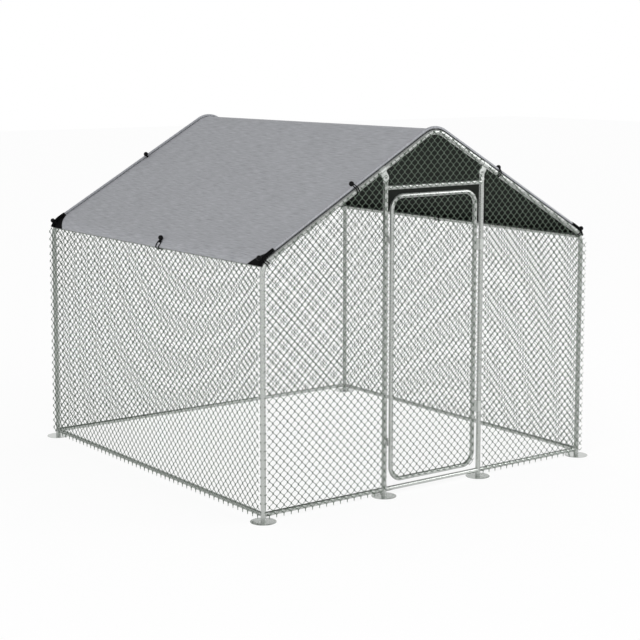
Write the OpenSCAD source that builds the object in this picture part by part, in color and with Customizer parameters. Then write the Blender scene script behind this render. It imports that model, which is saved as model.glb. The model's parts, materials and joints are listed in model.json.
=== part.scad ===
// Walk-in poultry run: a gabled frame of galvanised tube, wire-net walls,
// a hinged net door in the front wall and a cloth cover over the roof.
// Millimetres. The origin is on the ground at the middle of the plan, +Z is up
// and the door faces -Y.

/* [Frame] */
// Width between the axes of the corner posts
run_w = 2300; // [1900:10:3000]
// Depth between the axes of the front and back posts
run_d = 2300; // [1600:10:3200]
// Height where the axes of a post and its rafter would cross
eave_h = 1345; // [1280:1:1400]
// Height where the axes of two rafters would cross
ridge_h = 2005; // [1930:1:2100]
// Outside diameter of the posts, rafters and bends
tube_d = 28; // [26:0.5:32]
// Outside diameter of the rails and of the door tube
rail_d = 25; // [22:0.5:26]
// Wall of every tube
tube_wall = 1.2; // [1:0.1:2]
// Radius of the eave bends, on the tube's axis
eave_bend_r = 100; // [85:1:120]
// Radius of the ridge bends, on the tube's axis
ridge_bend_r = 130; // [100:1:170]
// Straight leg at each end of a bend
bend_leg = 56; // [50:1:80]
// Length of a swaged end inside the next tube
spigot_l = 40; // [30:1:45]
// Height of the bottom rails' axes
rail_h = 38; // [32:1:60]

/* [Feet] */
// Diameter of a foot disc
foot_d = 138; // [100:1:170]
// Thickness of a foot disc
foot_t = 2.5; // [2:0.1:4]
// Height of the stub that stands inside the post
foot_stub_h = 60; // [40:1:90]

/* [Doorway] */
// Distance between the axes of the door posts
door_post_gap = 694; // [640:1:760]
// Distance from the clamp bolts down to the lintel's axis
lintel_drop = 53.5; // [50:0.5:130]
// Gap between the door and the post on the hinge side
door_hinge_gap = 22; // [20:0.5:26]
// Gap between the door and the post on the latch side
door_latch_gap = 19; // [16:0.5:22]
// Gap between the door and the sill
door_sill_gap = 19.5; // [10:0.5:40]
// Gap between the door and the lintel
door_lintel_gap = 23.5; // [10:0.5:40]
// Radius of the door's corners, on the tube's axis
door_corner_r = 75; // [50:1:110]
// Height where the upper and lower halves of the door meet
door_joint_h = 860; // [700:5:1000]

/* [Rafter clamps] */
// Distance from the rafter's axis to the clamp bolt
clamp_reach = 48; // [46:0.5:60]
// Width of a clamp along the rafter
clamp_w = 40; // [30:1:44]
// Thickness of the clamp, hinge and latch bands
band_t = 2; // [1.5:0.1:3]
// Thickness of the flattened top of a door post
flat_t = 4; // [3:0.1:5]
// Diameter of the clamp bolts
bolt_d = 6; // [5:0.5:8]

/* [Hinges and latches] */
// Distance from the door's top bar down to the middle of the upper hinge
upper_hinge_drop = 301.5; // [150:0.5:450]
// Distance from the door's bottom bar up to the middle of the lower hinge
lower_hinge_rise = 332.5; // [150:0.5:450]
// Height of a hinge
hinge_l = 60; // [40:1:80]
// Diameter of the hinge pins
hinge_pin_d = 6; // [5:0.5:7]
// Outside diameter of the hinge knuckles
knuckle_d = 12; // [10:0.5:13]
// Distance from the door's top bar down to the upper latch's pivot
upper_latch_drop = 212.5; // [120:0.5:300]
// Distance from the door's bottom bar up to the lower latch's pivot
lower_latch_rise = 239.5; // [120:0.5:300]
// Reach of a latch from its pivot to its tip
latch_reach = 38; // [34:0.5:44]
// Width of a latch
latch_w = 8; // [6:0.5:10]
// Thickness of a latch
latch_t = 3; // [2:0.1:4]
// Diameter of a latch's pivot
latch_pin_d = 5; // [4:0.5:6]

/* [Nets] */
// Diagonal of one mesh of the real wire net
mesh_pitch = 46; // [40:1:60]
// Drawn wires on the side and back walls: one in every
wall_step = 5; // [5:1:7]
// Drawn wires on the front walls: one in every
front_step = 4; // [4:1:6]
// Drawn wires on the door and gable: one in every
door_step = 3; // [3:1:5]
// Width of a drawn wire
net_strand = 3; // [2:0.1:5]
// Thickness of a net
net_t = 3; // [2:0.1:4]
// Height of the nets' lower edges above the ground
net_foot = 8; // [5:1:25]
// Length of net that runs on past a corner post
net_overrun = 40; // [20:1:60]
// Distance that the nets stay below the rafters' axes
net_drop = 22; // [22:0.5:30]

/* [Cover] */
// Thickness of the roof cover
cover_t = 1.2; // [0.8:0.1:2]
// Length of cover beyond the axes of the end frames
cover_over = 2; // [0:0.5:8]
// Drop of the cover's lower edges below the eave height
cover_drop = 10; // [4:0.5:16]
// Length of a corner patch along the eave
patch_l = 130; // [100:1:180]
// Length of a corner patch up the roof
patch_up = 105; // [80:1:130]
// Thickness of a corner patch
patch_t = 1; // [0.6:0.1:1.5]
// Diameter of the hole in a grommet
grommet_d = 13.5; // [13:0.5:15]
// Distance of the front left and back right rafter ties from the middle of the run
tie_far_x = 545; // [460:1:700]
// Distance of the front right and back left rafter ties from the middle of the run
tie_near_x = 470; // [460:1:700]
// Distance of the eave ties from the middle of the run
tie_y = 125; // [0:1:400]
// Diameter of a tie's ball
ball_d = 25; // [20:0.5:30]
// Diameter of a tie's elastic cord
elastic_d = 4; // [3:0.5:5]
// Radius of a tie's loop
loop_r = 24; // [23:0.5:26]

/* [Hidden] */
$fn = 64;

// Gaps: slip inside a joint, seat of a touching piece, running fit of a pin
slip = 0.15;
seat = 0.3;
run_fit = 0.05;

// Tube radii
tube_r = tube_d / 2;
rail_r = rail_d / 2;

// Roof geometry
slope = atan((ridge_h - eave_h) / (run_w / 2));
eave_turn = 90 - slope;
eave_tan = eave_bend_r * tan(eave_turn / 2);
ridge_tan = ridge_bend_r * tan(slope);
rafter_full = norm([run_w / 2, ridge_h - eave_h]);
rafter_l = rafter_full - eave_tan - ridge_tan - 2 * bend_leg;
eave_centre = [run_w / 2 - eave_bend_r, eave_h - eave_tan];
ridge_centre_h = ridge_h - ridge_bend_r / cos(slope);
eave_mid = eave_turn / 2;
eave_rail_at = eave_centre + eave_bend_r * [cos(eave_mid), sin(eave_mid)];
ridge_rail_h = ridge_centre_h + ridge_bend_r;
post_top = eave_centre[1] - bend_leg;

// Joint of a bend with its legs
leg_gap = 0.05;
tongue_l = 0.6;

// Doorway geometry
post_x = door_post_gap / 2;
post_face = post_x - tube_r;
clamp_x = post_x + clamp_reach * sin(slope);
clamp_h = rafter_z(clamp_x);
bolt_h = clamp_h - clamp_reach * cos(slope);
lintel_h = bolt_h - lintel_drop;
door_left = -post_face + door_latch_gap + rail_r;
door_right = post_face - door_hinge_gap - rail_r;
door_foot = rail_h + rail_r + door_sill_gap + rail_r;
door_head = lintel_h - rail_r - door_lintel_gap - rail_r;
hinge_x = post_face - door_hinge_gap / 2;
front_y = -run_d / 2;
upper_hinge_h = door_head - upper_hinge_drop;
lower_hinge_h = door_foot + lower_hinge_rise;
upper_latch_h = door_head - upper_latch_drop;
lower_latch_h = door_foot + lower_latch_rise;

// Bands round the tubes
band_in = tube_r + slip;
band_out = band_in + band_t;
leaf_in = rail_r + slip;
leaf_out = leaf_in + band_t;
half_band = 160;
lug_t = 3;

// Clamps that carry the door posts
tab_r = clamp_w / 2;
flat_r = tab_r - 2;
flat_start = bolt_h - tab_r - 2;
pinch_l = 25;
pinch_lap = 3;

// Latches
stud_x = 9;
latch_back = tube_r + seat + net_t + 0.4;
stud_r = latch_pin_d / 2;
boss_r = stud_r + 2;
clip_l = 30;

// Cover and ties
cover_in = band_out + seat;
cover_out = cover_in + cover_t;
cover_mid = cover_in + cover_t / 2;
cover_edge = asin((eave_tan - cover_drop) / (eave_bend_r + cover_mid));
tie_shift = 3;
tie_reach = loop_reach(cover_t);
corner_tie_reach = loop_reach(cover_t + patch_t);
eave_tie_turn = loop_turn(cover_t);
corner_tie_turn = (rail_r + elastic_d / 2 + 1.5) / eave_bend_r * 180 / PI;
eyelet_wall = 1;
eyelet_rim = 2.5;
eyelet_t = 0.6;

// Nets
net_back = tube_r + seat;
gable_back = rail_r + seat;
gap_side = 12;
gap_min = gap_side * gap_side;
shoulder_in = 65;

// Height of the rafters' axes at a distance x from the middle
function rafter_z(x) = ridge_h - x * tan(slope);

// Distance and turn from a tie to where its loop goes through a sheet of thickness t
function loop_reach(t) = sqrt(loop_r * loop_r - pow(cover_in + 0.75 * t, 2));
function loop_turn(t) =
    let (q = eave_bend_r + cover_in + 0.75 * t)
        acos((q * q + eave_bend_r * eave_bend_r - loop_r * loop_r) / (2 * q * eave_bend_r));

// Point of a circle round a centre
function on_circle(c, r, a) = c + r * [cos(a), sin(a)];

// Points of an arc, from angle a to angle b in n steps
function arc(c, r, a, b, n) = [for (i = [0:n]) on_circle(c, r, a + (b - a) * i / n)];

// Part of a convex polygon that lies at least d inside the line through a along its inward normal n
function clip_edge(poly, a, n, d) = [
    for (i = [0:len(poly) - 1])
        let (p = poly[i], q = poly[(i + 1) % len(poly)], sp = (p - a) * n - d, sq = (q - a) * n - d)
            each concat(sp >= 0 ? [p] : [], sp * sq < 0 ? [p + (q - p) * sp / (sp - sq)] : [])
];

// Inward normal of edge k of an anticlockwise outline
function inward(outline, k) =
    let (e = outline[(k + 1) % len(outline)] - outline[k]) [-e[1], e[0]] / norm(e);

// Polygon clipped by every edge of an outline, a border's width inside it
function clip_all(poly, outline, border, k = 0) = (k == len(outline) || len(poly) < 3)
    ? poly
    : clip_all(clip_edge(poly, outline[k], inward(outline, k), border), outline, border, k + 1);

// Area of a polygon
function area(p) = len(p) < 3 ? 0 : abs([
    for (i = [0:len(p) - 1]) cross(p[i], p[(i + 1) % len(p)])
] * [for (i = p) 1]) / 2;

// Diamond of a given half diagonal round a centre
function diamond(c, h) = [c + [h, 0], c + [0, h], c - [h, 0], c - [0, h]];

// Gaps of a diamond net inside an outline
function net_gaps(outline, pitch) =
    let (
        xs = [for (p = outline) p[0]],
        zs = [for (p = outline) p[1]],
        low = [min(xs), min(zs)],
        n = ceil((max(xs) - low[0]) / pitch * 2),
        m = ceil((max(zs) - low[1]) / pitch * 2),
        half = pitch / 2 - net_strand / sqrt(2)
    ) [
        for (i = [0:n], j = [0:m])
            if ((i + j) % 2 == 0)
                let (gap = clip_all(diamond(low + [i, j] * pitch / 2, half), outline, net_strand))
                    if (area(gap) > gap_min) gap
    ];

// Flat net: an outline with the gaps of the mesh cut out of it
module net_panel(outline, step) {
    gaps = net_gaps(outline, mesh_pitch * step);
    loops = concat([outline], gaps);
    starts = [for (i = 0, s = 0; i < len(loops); s = s + len(loops[i]), i = i + 1) s];
    linear_extrude(net_t)
        polygon([for (l = loops) each l],
            [for (i = [0:len(loops) - 1]) [for (k = [0:len(loops[i]) - 1]) starts[i] + k]]);
}

// Stands a panel drawn in X and Z upright, with its inner face at distance y from the middle
module upright_x(y) {
    translate([0, y < 0 ? y : y + net_t, 0])
        rotate([90, 0, 0])
            children();
}

// Stands a panel drawn in Y and Z upright, with its inner face at distance x from the middle
module upright_y(x) {
    translate([x < 0 ? x - net_t : x, 0, 0])
        rotate([90, 0, 90])
            children();
}

// Straight tube along +Z
module tube(r, l) {
    difference() {
        cylinder(r = r, h = l);
        translate([0, 0, -1])
            cylinder(r = r - tube_wall, h = l + 2);
    }
}

// Frame tube along +Z whose upper end, and lower end if asked, is swaged to fit inside the next tube
module swaged_tube(l, both = false) {
    inner = tube_r - tube_wall;
    neck = inner - slip;
    top = [
        [tube_r, l], [neck, l], [neck, l + spigot_l], [neck - tube_wall, l + spigot_l],
        [neck - tube_wall, l - tube_wall], [inner, l - tube_wall]
    ];
    plain = [[inner, 0], [tube_r, 0]];
    bottom = [
        [inner, tube_wall], [neck - tube_wall, tube_wall], [neck - tube_wall, -spigot_l],
        [neck, -spigot_l], [neck, 0], [tube_r, 0]
    ];
    rotate_extrude()
        polygon(concat(top, both ? bottom : plain));
}

// Bent tube in the XZ plane, round the origin, from angle a through a turn
module bend(r, bend_r, a, turn) {
    rotate([90, 0, 0])
        rotate([0, 0, a])
            rotate_extrude(angle = turn)
                translate([bend_r, 0])
                    difference() {
                        circle(r = r);
                        circle(r = r - tube_wall);
                    }
}

// Corner post, from its foot disc to the eave bend
module corner_post(sx, sy) {
    color("silver")
        translate([sx * run_w / 2, sy * run_d / 2, foot_t])
            swaged_tube(post_top - foot_t);
}

// Foot: a disc with a stub that stands inside the post
module foot(x, y) {
    stub_r = tube_r - tube_wall - slip;
    color("darkgray")
        translate([x, y, 0])
            rotate_extrude()
                polygon([
                    [0, 0], [foot_d / 2, 0], [foot_d / 2, foot_t], [stub_r, foot_t],
                    [stub_r, foot_stub_h], [stub_r - tube_wall, foot_stub_h],
                    [stub_r - tube_wall, foot_t], [0, foot_t]
                ]);
}

// Straight leg of a bend along +Z: a thin tongue at its upper end is let into the bend's wall
module leg(l) {
    inner = tube_r - tube_wall;
    a = inner + tube_wall / 3;
    b = tube_r - tube_wall / 3;
    end = l - leg_gap;
    rotate_extrude()
        polygon([
            [inner, 0], [tube_r, 0], [tube_r, end], [b, end],
            [b, l + tongue_l], [a, l + tongue_l], [a, end], [inner, end]
        ]);
}

// Frame tube bent through a turn in the XZ plane, from straight down, with a leg at each end
module bent_tube(bend_r, turn) {
    bend(tube_r, bend_r, 0, turn);
    translate([bend_r, 0, -bend_leg])
        leg(bend_leg);
    rotate([0, -turn, 0])
        translate([bend_r, 0, bend_leg])
            rotate([180, 0, 0])
                leg(bend_leg);
}

// Bend that joins a corner post to its rafter
module eave_bend(sx, sy) {
    color("silver")
        mirror([sx < 0 ? 1 : 0, 0, 0])
            translate([eave_centre[0], sy * run_d / 2, eave_centre[1]])
                bent_tube(eave_bend_r, eave_turn);
}

// Rafter, swaged at both ends
module rafter(sx, sy) {
    start = eave_tan + bend_leg;
    color("silver")
        mirror([sx < 0 ? 1 : 0, 0, 0])
            translate([run_w / 2 - start * cos(slope), sy * run_d / 2, eave_h + start * sin(slope)])
                rotate([0, -eave_turn, 0])
                    swaged_tube(rafter_l, both = true);
}

// Bend that joins two rafters at the ridge
module ridge_bend(sy) {
    color("silver")
        translate([0, sy * run_d / 2, ridge_centre_h])
            rotate([0, slope - 90, 0])
                bent_tube(ridge_bend_r, 2 * slope);
}

// Rail along Y between the front and back frames
module long_rail(x, z) {
    l = run_d - 2 * (tube_r + seat);
    color("silver")
        translate([x, -l / 2, z])
            rotate([-90, 0, 0])
                tube(rail_r, l);
}

// Rail along X between two tubes whose axes are at a and b
module cross_rail(a, b, y, z) {
    gap = tube_r + seat;
    color("silver")
        translate([a + gap, y, z])
            rotate([0, 90, 0])
                tube(rail_r, b - a - 2 * gap);
}

// Door post: its top is pinched flat and drilled for the clamp bolt
module door_post(sx) {
    round_top = flat_start - pinch_l;
    color("silver")
        translate([sx * post_x, front_y, 0]) {
            translate([0, 0, foot_t])
                tube(tube_r, round_top - foot_t);
            translate([0, 0, round_top - pinch_lap])
                cylinder(r = tube_r - tube_wall / 2, h = pinch_lap + tongue_l);
            translate([0, 0, round_top])
                intersection() {
                    cylinder(r = tube_r, h = pinch_l);
                    rotate([90, 0, 90])
                        translate([0, 0, -tube_r])
                            linear_extrude(2 * tube_r)
                                polygon([
                                    [-tube_r, 0], [tube_r, 0],
                                    [flat_t / 2 - slip, pinch_l], [slip - flat_t / 2, pinch_l]
                                ]);
                }
            translate([0, flat_t / 2, 0])
                rotate([90, 0, 0])
                    linear_extrude(flat_t)
                        difference() {
                            union() {
                                translate([-flat_r, flat_start - pinch_lap])
                                    square([2 * flat_r, bolt_h - flat_start + pinch_lap]);
                                translate([0, bolt_h])
                                    circle(r = flat_r);
                            }
                            translate([0, bolt_h])
                                circle(r = bolt_d / 2 + seat);
                        }
        }
}

// Clamp: a band round the rafter whose two tabs hold the flat top of a door post
module rafter_clamp(sx) {
    tab_in = flat_t / 2 + slip;
    color("lightgray")
        mirror([sx < 0 ? 1 : 0, 0, 0])
            translate([clamp_x, front_y, clamp_h])
                rotate([0, slope, 0])
                    difference() {
                        union() {
                            translate([-clamp_w / 2, 0, 0])
                                rotate([0, 90, 0])
                                    cylinder(r = band_out, h = clamp_w);
                            for (s = [-1, 1])
                                translate([0, s * (tab_in + band_t / 2) + band_t / 2, 0])
                                    rotate([90, 0, 0])
                                        linear_extrude(band_t)
                                            union() {
                                                translate([-clamp_w / 2, -clamp_reach])
                                                    square([clamp_w, clamp_reach]);
                                                translate([0, -clamp_reach])
                                                    circle(r = tab_r);
                                            }
                        }
                        translate([-clamp_w / 2 - 1, 0, 0])
                            rotate([0, 90, 0])
                                cylinder(r = band_in, h = clamp_w + 2);
                        translate([0, 0, -clamp_reach])
                            rotate([90, 0, 0])
                                cylinder(r = bolt_d / 2 + seat, h = 4 * tube_r, center = true);
                    }
}

// Bolts and nuts of the two clamps
module clamp_bolts() {
    grip = flat_t / 2 + slip + band_t;
    head_t = 0.7 * bolt_d;
    head_r = 0.95 * bolt_d;
    color("gray")
        for (sx = [-1, 1])
            translate([sx * post_x, front_y, bolt_h])
                rotate([90, 0, 0]) {
                    translate([0, 0, -grip - head_t - 2])
                        cylinder(d = bolt_d, h = 2 * grip + head_t + 2);
                    translate([0, 0, grip])
                        cylinder(r = head_r, h = head_t, $fn = 6);
                    translate([0, 0, -grip - head_t])
                        difference() {
                            cylinder(r = head_r, h = head_t, $fn = 6);
                            translate([0, 0, -1])
                                cylinder(r = bolt_d / 2 + run_fit, h = head_t + 2);
                        }
                }
}

// Side wall net, outside the posts, running on past the back post
module side_net(sx) {
    near = front_y + tube_r + seat;
    far = run_d / 2 + net_overrun;
    top = eave_h - net_drop;
    color("slategray")
        upright_y(sx * (run_w / 2 + net_back))
            net_panel([[near, net_foot], [far, net_foot], [far, top], [near, top]], wall_step);
}

// Upper corner of a front or back net: it leaves room for the corner tie
function net_shoulder(x) = rafter_z(x) - net_drop / cos(slope);
shoulder_x = run_w / 2 - shoulder_in;
shoulder_fall = 1.16;

// Flat top of the net under the ridge bend
net_peak_h = ridge_rail_h - net_drop;
net_peak_x = (ridge_h - net_drop / cos(slope) - net_peak_h) / tan(slope);

// Back wall net with its gable
module back_net() {
    x = run_w / 2 - slip;
    corner = net_shoulder(shoulder_x) - (x - shoulder_x) * shoulder_fall;
    color("slategray")
        upright_x(run_d / 2 + net_back)
            net_panel([
                [-x, net_foot], [x, net_foot], [x, corner],
                [shoulder_x, net_shoulder(shoulder_x)], [net_peak_x, net_peak_h],
                [-net_peak_x, net_peak_h], [-shoulder_x, net_shoulder(shoulder_x)], [-x, corner]
            ], wall_step);
}

// Front wall net from the left corner post to the left door post
module front_left_net() {
    x = -run_w / 2 + tube_r + seat;
    corner = net_shoulder(shoulder_x) - (-x - shoulder_x) * shoulder_fall;
    color("slategray")
        upright_x(front_y - net_back)
            net_panel([
                [x, net_foot], [-post_x, net_foot], [-post_x, net_shoulder(post_x)],
                [-shoulder_x, net_shoulder(shoulder_x)], [x, corner]
            ], front_step);
}

// Front wall net from the right door post, running on past the right corner post
module front_right_net() {
    near = post_x + band_out + seat;
    far = run_w / 2 + net_overrun;
    corner = net_shoulder(shoulder_x) - (far - shoulder_x) * shoulder_fall;
    color("slategray")
        upright_x(front_y - net_back)
            net_panel([
                [near, net_foot], [far, net_foot], [far, corner],
                [shoulder_x, net_shoulder(shoulder_x)], [near, net_shoulder(near)]
            ], front_step);
}

// Net of the front gable, from the lintel to the rafters
module gable_net() {
    x = post_face - seat;
    foot = lintel_h - rail_r / 2;
    color("slategray")
        upright_x(front_y - gable_back)
            net_panel([
                [-x, foot], [x, foot], [x, net_shoulder(x)], [net_peak_x, net_peak_h],
                [-net_peak_x, net_peak_h], [-x, net_shoulder(x)]
            ], door_step);
}

// Net of the door, in front of its frame
module door_net() {
    c = door_corner_r * (2 - sqrt(2));
    color("slategray")
        upright_x(front_y - gable_back)
            net_panel([
                [door_left + c, door_foot], [door_right - c, door_foot],
                [door_right, door_foot + c], [door_right, door_head - c],
                [door_right - c, door_head], [door_left + c, door_head],
                [door_left, door_head - c], [door_left, door_foot + c]
            ], door_step);
}

// Half of the cover's outline at a distance from the tube axes, from the ridge to the right eave
function cover_half(off, edge) = concat(
    arc([0, ridge_centre_h], ridge_bend_r + off, 90, 90 - slope, 8),
    arc(eave_centre, eave_bend_r + off, eave_turn, edge, 8)
);

// Cross-section of a sheet over the roof, between two distances from the tube axes
module cover_section(inner, outer) {
    out_half = cover_half(outer, cover_edge);
    in_half = cover_half(inner, cover_edge);
    n = len(out_half) - 1;
    polygon(concat(
        [for (i = [n:-1:1]) [-out_half[i][0], out_half[i][1]]],
        out_half,
        [for (i = [n:-1:0]) in_half[i]],
        [for (i = [1:n]) [-in_half[i][0], in_half[i][1]]]
    ));
}

// Sheet over the roof from the front edge to the back edge
module roof_sheet(inner, outer) {
    l = run_d + 2 * cover_over;
    translate([0, l / 2, 0])
        rotate([90, 0, 0])
            linear_extrude(l)
                cover_section(inner, outer);
}

// Puts a child on the end frames' ties: +Z points off the roof and +X off the cover's edge
module at_corner_ties() {
    for (sx = [-1, 1], sy = [-1, 1])
        translate([sx * eave_centre[0], sy * run_d / 2, eave_centre[1]])
            rotate([0, sx * (90 - eave_mid - corner_tie_turn), 0])
                translate([0, 0, eave_bend_r])
                    rotate([0, 0, sy * 90])
                        children();
}

module at_rafter_ties() {
    for (sx = [-1, 1], sy = [-1, 1])
        let (x = sx * sy > 0 ? tie_far_x : tie_near_x)
            translate([sx * x, sy * run_d / 2, rafter_z(x)])
                rotate([0, sx * slope, 0])
                    rotate([0, 0, sy * 90])
                        children();
}

module at_eave_ties(turn = 0) {
    for (sx = [-1, 1])
        mirror([sx < 0 ? 1 : 0, 0, 0])
            translate([eave_centre[0], sx * tie_y, eave_centre[1]])
                rotate([0, 90 - eave_mid - turn, 0])
                    translate([0, 0, eave_bend_r])
                        children();
}

// Puts a child on the grommets of the rafters, the eaves and the corners, at the tube's axis
module at_rafter_grommets() {
    at_rafter_ties()
        translate([-tie_shift - tie_reach, 0, 0])
            children();
}

module at_eave_grommets() {
    at_eave_ties(eave_tie_turn)
        children();
}

module at_corner_grommets() {
    at_corner_ties()
        translate([-tie_shift - corner_tie_reach, 0, 0])
            children();
}

// Hole for a grommet
module eyelet_hole() {
    cylinder(d = grommet_d + 2 * eyelet_wall + 2 * slip, h = cover_out + patch_t + 5);
}

// Grommet on a sheet of thickness t; on a bent sheet its flat lower rim clears the bend of radius r
module eyelet(t, r = 0) {
    hole = grommet_d / 2;
    wall = hole + eyelet_wall;
    rim = wall + eyelet_rim;
    dip = r > 0 ? r - sqrt(r * r - rim * rim) : 0;
    low = cover_in - seat - dip;
    high = cover_in + t + seat;
    rotate_extrude()
        polygon([
            [hole, low - eyelet_t], [rim, low - eyelet_t], [rim, low], [wall, low],
            [wall, high], [rim, high], [rim, high + eyelet_t], [hole, high + eyelet_t]
        ]);
}

// Cloth cover over the roof, with a hole for each grommet
module roof_cover() {
    color("darkgray")
        difference() {
            roof_sheet(cover_in, cover_out);
            at_rafter_grommets()
                eyelet_hole();
            at_eave_grommets()
                eyelet_hole();
            at_corner_grommets()
                eyelet_hole();
        }
}

// Stiff triangular patches sewn on the cover's four corners
module corner_patches() {
    end = run_d / 2 + cover_over;
    low = on_circle(eave_centre, eave_bend_r + cover_out, cover_edge);
    reach = patch_up * cos(slope);
    color("black")
        difference() {
            intersection() {
                roof_sheet(cover_out, cover_out + patch_t);
                for (sx = [-1, 1], sy = [-1, 1])
                    linear_extrude(ridge_h)
                        polygon([
                            [sx * (low[0] + patch_t * 2), sy * end],
                            [sx * (low[0] - reach), sy * end],
                            [sx * (low[0] + patch_t * 2), sy * (end - patch_l)]
                        ]);
            }
            at_corner_grommets()
                eyelet_hole();
        }
}

// Metal grommets in the cover
module grommets() {
    bend = eave_bend_r + cover_in;
    color("gainsboro") {
        at_rafter_grommets()
            eyelet(cover_t);
        at_eave_grommets()
            eyelet(cover_t, bend);
        at_corner_grommets()
            eyelet(cover_t + patch_t, bend);
    }
}

// Ball of a tie, on a sheet of thickness t
module ball(t, gap = 0) {
    translate([0, 0, cover_in + t + seat + ball_d / 2])
        sphere(d = ball_d + 2 * gap);
}

// Elastic loop of a tie, from its ball round the tube
module loop(t) {
    difference() {
        rotate([90, 0, 0])
            rotate_extrude()
                translate([loop_r, 0])
                    circle(d = elastic_d);
        ball(t, slip);
    }
}

module tie_balls() {
    color("black") {
        at_corner_ties()
            translate([-tie_shift, 0, 0])
                ball(cover_t + patch_t);
        at_rafter_ties()
            translate([-tie_shift, 0, 0])
                ball(cover_t);
        at_eave_ties()
            ball(cover_t);
    }
}

module tie_loops() {
    color("black") {
        at_corner_ties()
            translate([-tie_shift, 0, 0])
                loop(cover_t + patch_t);
        at_rafter_ties()
            translate([-tie_shift, 0, 0])
                loop(cover_t);
        at_eave_ties()
            loop(cover_t);
    }
}

// Half of the door's tube frame: a bow from its joints, round two corners and along one bar
module door_bow(joint, bar) {
    up = bar > joint ? 1 : -1;
    straight = abs(bar - joint) - door_corner_r;
    width = door_right - door_left;
    color("silver")
        translate([0, front_y, joint])
            mirror([0, 0, up > 0 ? 0 : 1]) {
                for (x = [door_left, door_right])
                    translate([x, 0, 0])
                        tube(rail_r, straight);
                translate([door_right - door_corner_r, 0, straight])
                    bend(rail_r, door_corner_r, 0, 90);
                translate([door_left + door_corner_r, 0, straight])
                    bend(rail_r, door_corner_r, 90, 90);
                translate([door_left + door_corner_r, 0, straight + door_corner_r])
                    rotate([0, 90, 0])
                        tube(rail_r, width - 2 * door_corner_r);
            }
}

// Sleeves inside the stiles that join the two halves of the door
module door_joint_sleeves() {
    color("gray")
        for (x = [door_left, door_right])
            translate([x, front_y, door_joint_h - spigot_l])
                tube(rail_r - tube_wall - slip, 2 * spigot_l);
}

// Hinge band on the right door post, with the lower half of the knuckle
module hinge_band(z) {
    lower = hinge_l / 2 - slip;
    color("lightgray")
        translate([0, front_y, z - hinge_l / 2])
            difference() {
                union() {
                    translate([post_x, 0, 0])
                        cylinder(r = band_out, h = hinge_l);
                    translate([hinge_x, 0, 0])
                        cylinder(d = knuckle_d, h = lower);
                    translate([hinge_x, -lug_t / 2, 0])
                        cube([post_x - hinge_x, lug_t, lower]);
                }
                translate([post_x, 0, -1])
                    cylinder(r = band_in, h = hinge_l + 2);
                translate([hinge_x, 0, -1])
                    cylinder(d = hinge_pin_d + 2 * run_fit, h = hinge_l + 2);
            }
}

// Hinge leaf on the door's stile, with the upper half of the knuckle
module hinge_leaf(z) {
    upper = hinge_l / 2 - slip;
    color("lightgray")
        translate([0, front_y, z - hinge_l / 2])
            difference() {
                union() {
                    translate([door_right, 0, 0])
                        rotate([0, 0, -half_band / 2])
                            rotate_extrude(angle = half_band)
                                translate([leaf_in, 0])
                                    square([band_t, hinge_l]);
                    translate([hinge_x, 0, hinge_l - upper])
                        cylinder(d = knuckle_d, h = upper);
                    translate([door_right + leaf_in + band_t / 2, -lug_t / 2, hinge_l - upper])
                        cube([hinge_x - door_right - leaf_in - band_t / 2, lug_t, upper]);
                }
                translate([hinge_x, 0, -1])
                    cylinder(d = hinge_pin_d + 2 * run_fit, h = hinge_l + 2);
            }
}

// Pins of the two hinges, each with a head above its leaf
module hinge_pins() {
    color("gray")
        for (z = [upper_hinge_h, lower_hinge_h])
            translate([hinge_x, front_y, z - hinge_l / 2]) {
                cylinder(d = hinge_pin_d, h = hinge_l + seat);
                translate([0, 0, hinge_l + seat])
                    cylinder(d = knuckle_d - 2, h = 2);
            }
}

// Clip on the left door post, with the stud that a latch turns on
module latch_clip(z) {
    root = tube_r / 2;
    head = latch_back + latch_t + seat - root;
    color("lightgray")
        translate([-post_x, front_y, z])
            difference() {
                union() {
                    translate([0, 0, -clip_l / 2])
                        rotate([0, 0, -half_band / 2])
                            rotate_extrude(angle = half_band)
                                translate([tube_r - 1, 0])
                                    square([band_out - tube_r + 1, clip_l]);
                    translate([stud_x, -root, 0])
                        rotate([90, 0, 0]) {
                            cylinder(r = boss_r, h = latch_back - seat - root);
                            cylinder(r = stud_r, h = head + 0.5);
                            translate([0, 0, head])
                                cylinder(r = boss_r, h = 1.5);
                        }
                }
                translate([0, 0, -clip_l])
                    cylinder(r = band_in, h = 2 * clip_l);
            }
}

// Latch: a flat button that hangs on its stud and turns across the door's stile
module latch(z) {
    tip_r = latch_w / 2;
    color("gray")
        translate([-post_x + stud_x, front_y - latch_back, z])
            rotate([90, 0, 0])
                linear_extrude(latch_t)
                    difference() {
                        union() {
                            circle(r = stud_r + 3.5);
                            translate([-tip_r, -latch_reach + tip_r])
                                square([latch_w, latch_reach - tip_r]);
                            translate([0, -latch_reach + tip_r])
                                circle(r = tip_r);
                        }
                        circle(r = stud_r + run_fit);
                    }
}

corner_post(-1, -1);  // front_left_post
corner_post(1, -1);  // front_right_post
corner_post(-1, 1);  // back_left_post
corner_post(1, 1);  // back_right_post
eave_bend(-1, -1);  // front_left_eave_bend
eave_bend(1, -1);  // front_right_eave_bend
eave_bend(-1, 1);  // back_left_eave_bend
eave_bend(1, 1);  // back_right_eave_bend
rafter(-1, -1);  // front_left_rafter
rafter(1, -1);  // front_right_rafter
rafter(-1, 1);  // back_left_rafter
rafter(1, 1);  // back_right_rafter
ridge_bend(-1);  // front_ridge_bend
ridge_bend(1);  // back_ridge_bend
long_rail(0, ridge_rail_h);  // ridge_rail
long_rail(-eave_rail_at[0], eave_rail_at[1]);  // left_eave_rail
long_rail(eave_rail_at[0], eave_rail_at[1]);  // right_eave_rail
long_rail(-run_w / 2, rail_h);  // left_bottom_rail
long_rail(run_w / 2, rail_h);  // right_bottom_rail
cross_rail(-run_w / 2, run_w / 2, run_d / 2, rail_h);  // back_bottom_rail
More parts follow.
